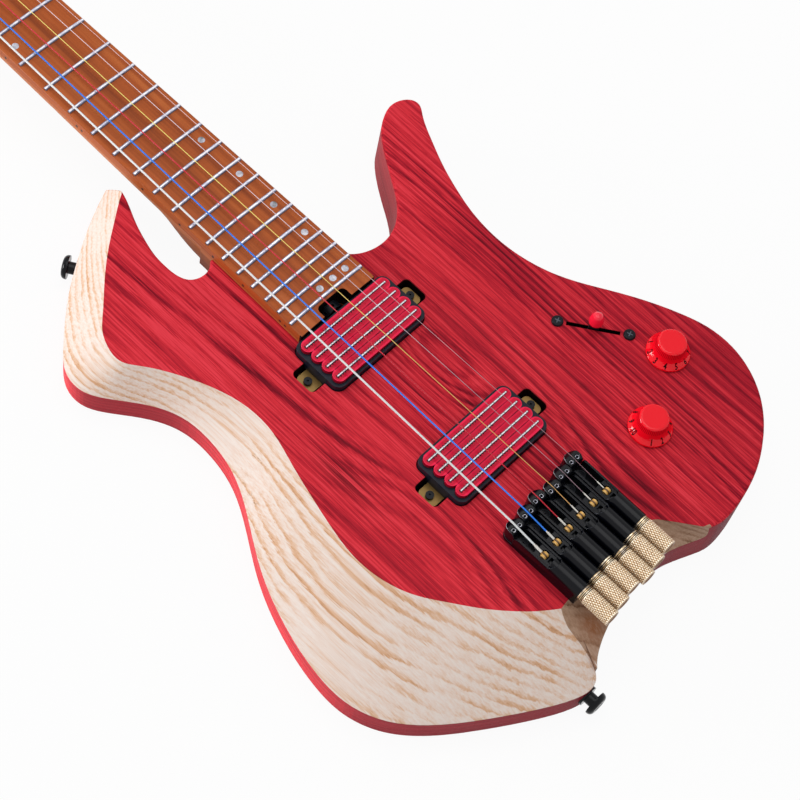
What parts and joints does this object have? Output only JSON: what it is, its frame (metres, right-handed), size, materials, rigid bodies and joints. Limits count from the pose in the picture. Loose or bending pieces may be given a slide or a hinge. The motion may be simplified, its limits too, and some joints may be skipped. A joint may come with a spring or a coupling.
{
  "type": "headless electric guitar",
  "caption": "Headless electric guitar: bevelled ash body, bolt-on roasted maple neck, bar pickups, and a bridge unit with a tuner knob for each string.",
  "frame": {"origin": "on the body's flat back face, under the saddle line, on the strings' centre line", "axes": "+X to the treble side, +Y along the neck towards the nut, +Z out of the body's top towards the strings"},
  "size_m": [0.3038, 0.7737, 0.0534],
  "materials": {
    "stained_ash": "satin clear coat over red-stained and bare ash",
    "roasted_maple": "satin oil",
    "fret_wire": "polished",
    "nut_material": "polished",
    "pearl": "pearl",
    "side_dot_black": "plain",
    "black_metal": "gloss black",
    "black_screw": "black oxide",
    "steel": "plain",
    "blade_steel": "polished",
    "bobbin_red": "gloss",
    "case_black": "gloss",
    "copper_coil": "enamelled wire",
    "magnet": "plain",
    "brass_plate": "plain",
    "champagne": "anodised, knurled",
    "string_plain": "polished",
    "knob_red": "gloss",
    "tip_red": "gloss",
    "pot_metal": "plain",
    "cover_black": "plain"
  },
  "bodies": {
    "guitar": {"body": "stained_ash", "neck": "roasted_maple", "fretboard": "roasted_maple", "frets": "fret_wire", "nut": "nut_material", "headpiece": "black_metal", "string_clamps": "steel", "clamp_screws": "black_screw", "fret_dots": "pearl", "side_dots": "side_dot_black", "truss_rod": "steel", "neck_bolts": "black_screw", "neck_ferrules": "black_metal", "neck_pickup_case": "case_black", "bridge_pickup_case": "case_black", "neck_pickup_bobbins": "bobbin_red", "bridge_pickup_bobbins": "bobbin_red", "pickup_blades": "blade_steel", "pickup_coils": "copper_coil", "pickup_magnets": "magnet", "pickup_baseplates": "brass_plate", "pickup_screws": "black_screw", "bridge_housings": "black_metal", "saddles": "black_metal", "saddle_screws": "black_screw", "mounting_screws": "black_screw", "potentiometers": "pot_metal", "panel_nuts": "pot_metal", "selector_frame": "pot_metal", "selector_screws": "black_screw", "output_jack": "black_metal", "control_cover": "cover_black", "cover_screws": "black_screw", "strap_buttons": "black_metal", "strap_screws": "black_screw"},
    "volume_control": {"volume_knob": "knob_red", "volume_shaft": "pot_metal"},
    "tone_control": {"tone_knob": "knob_red", "tone_shaft": "pot_metal"},
    "selector": {"selector_lever": "pot_metal", "selector_tip": "tip_red"},
    "truss_adjuster": {"truss_wheel": "black_screw"},
    "tuner_1": {"tuner_knob_1": "champagne"},
    "carriage_1": {"carriage_1": "black_metal", "string_1": "string_plain"},
    "tuner_2": {"tuner_knob_2": "champagne"},
    "carriage_2": {"carriage_2": "black_metal", "string_2": "string_plain"},
    "tuner_3": {"tuner_knob_3": "champagne"},
    "carriage_3": {"carriage_3": "black_metal", "string_3": "string_plain"},
    "tuner_4": {"tuner_knob_4": "champagne"},
    "carriage_4": {"carriage_4": "black_metal", "string_4": "string_plain"},
    "tuner_5": {"tuner_knob_5": "champagne"},
    "carriage_5": {"carriage_5": "black_metal", "string_5": "string_plain"},
    "tuner_6": {"tuner_knob_6": "champagne"},
    "carriage_6": {"carriage_6": "black_metal", "string_6": "string_plain"}
  },
  "joints": [
    {"name": "tuner_6_turn", "type": "hinge", "parent": "guitar", "child": "tuner_6", "pos_m": [-0.02625, -0.0547, 0.047], "axis": [0, 1, 0], "range_deg": [-1029, 2315]},
    {"name": "carriage_6_slide", "type": "slide", "parent": "guitar", "child": "carriage_6", "axis": [0, -1, 0], "range_m": [-0.002, 0.0045], "deforming": ["string_6"]},
    {"name": "tuner_5_turn", "type": "hinge", "parent": "guitar", "child": "tuner_5", "pos_m": [-0.01575, -0.0532, 0.047], "axis": [0, 1, 0], "range_deg": [-1029, 2315]},
    {"name": "carriage_5_slide", "type": "slide", "parent": "guitar", "child": "carriage_5", "axis": [0, -1, 0], "range_m": [-0.002, 0.0045], "deforming": ["string_5"]},
    {"name": "tuner_4_turn", "type": "hinge", "parent": "guitar", "child": "tuner_4", "pos_m": [-0.00525, -0.0512, 0.047], "axis": [0, 1, 0], "range_deg": [-1029, 2315]},
    {"name": "carriage_4_slide", "type": "slide", "parent": "guitar", "child": "carriage_4", "axis": [0, -1, 0], "range_m": [-0.002, 0.0045], "deforming": ["string_4"]},
    {"name": "tuner_3_turn", "type": "hinge", "parent": "guitar", "child": "tuner_3", "pos_m": [0.00525, -0.0528, 0.047], "axis": [0, 1, 0], "range_deg": [-1029, 2315]},
    {"name": "carriage_3_slide", "type": "slide", "parent": "guitar", "child": "carriage_3", "axis": [0, -1, 0], "range_m": [-0.002, 0.0045], "deforming": ["string_3"]},
    {"name": "tuner_2_turn", "type": "hinge", "parent": "guitar", "child": "tuner_2", "pos_m": [0.01575, -0.0507, 0.047], "axis": [0, 1, 0], "range_deg": [-1029, 2315]},
    {"name": "carriage_2_slide", "type": "slide", "parent": "guitar", "child": "carriage_2", "axis": [0, -1, 0], "range_m": [-0.002, 0.0045], "deforming": ["string_2"]},
    {"name": "tuner_1_turn", "type": "hinge", "parent": "guitar", "child": "tuner_1", "pos_m": [0.02625, -0.0488, 0.047], "axis": [0, 1, 0], "range_deg": [-1029, 2315]},
    {"name": "carriage_1_slide", "type": "slide", "parent": "guitar", "child": "carriage_1", "axis": [0, -1, 0], "range_m": [-0.002, 0.0045], "deforming": ["string_1"]},
    {"name": "volume_turn", "type": "hinge", "parent": "guitar", "child": "volume_control", "pos_m": [0.07737, -0.01386, 0.045], "axis": [0, 0, 1], "range_deg": [-150, 150]},
    {"name": "tone_turn", "type": "hinge", "parent": "guitar", "child": "tone_control", "pos_m": [0.12023, 0.0103, 0.045], "axis": [0, 0, 1], "range_deg": [-150, 150]},
    {"name": "selector_swing", "type": "hinge", "parent": "guitar", "child": "selector", "pos_m": [0.10047, 0.0491, 0.02], "axis": [0.8121, 0.5835, 0], "range_deg": [-26, 26]},
    {"name": "truss_wheel_turn", "type": "hinge", "parent": "guitar", "child": "truss_adjuster", "pos_m": [0, 0.1523, 0.0353], "axis": [0, 1, 0], "range_deg": [-180, 180]}
  ],
  "couplings": [
    {"joint": "tuner_6_turn", "follows": "carriage_6_slide", "rad_per_m": 8976},
    {"joint": "tuner_5_turn", "follows": "carriage_5_slide", "rad_per_m": 8976},
    {"joint": "tuner_4_turn", "follows": "carriage_4_slide", "rad_per_m": 8976},
    {"joint": "tuner_3_turn", "follows": "carriage_3_slide", "rad_per_m": 8976},
    {"joint": "tuner_2_turn", "follows": "carriage_2_slide", "rad_per_m": 8976},
    {"joint": "tuner_1_turn", "follows": "carriage_1_slide", "rad_per_m": 8976}
  ]
}
